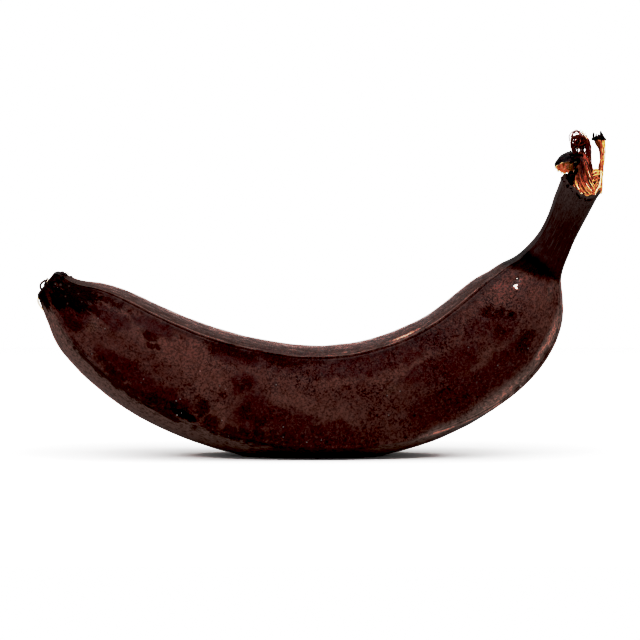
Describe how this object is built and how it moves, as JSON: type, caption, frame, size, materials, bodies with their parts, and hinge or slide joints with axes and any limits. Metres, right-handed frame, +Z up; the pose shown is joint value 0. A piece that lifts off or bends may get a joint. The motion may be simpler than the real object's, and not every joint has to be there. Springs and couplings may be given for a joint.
{
  "type": "plantain",
  "caption": "Ripe plantain finger with a blackened peel, five soft ridges, a torn fibrous stem end and a blunt blossom scar, lying on its outer curve.",
  "frame": {"origin": "middle of the small flat spot on the outer curve that the fruit rests on", "axes": "+X from the blossom end towards the stem end, +Y across the fruit, away from the side with two ridges in view, +Z up"},
  "size_m": [0.2267, 0.0444, 0.1304],
  "materials": {
    "ripe_peel": "satin, mottled maroon-brown peel of a fully ripe fruit, nearly black at both ends",
    "dried_fibre": "dry, dull golden to red-brown fibres of the torn stem end"
  },
  "bodies": {
    "root": {"plantain": "ripe_peel"}
  },
  "joints": []
}
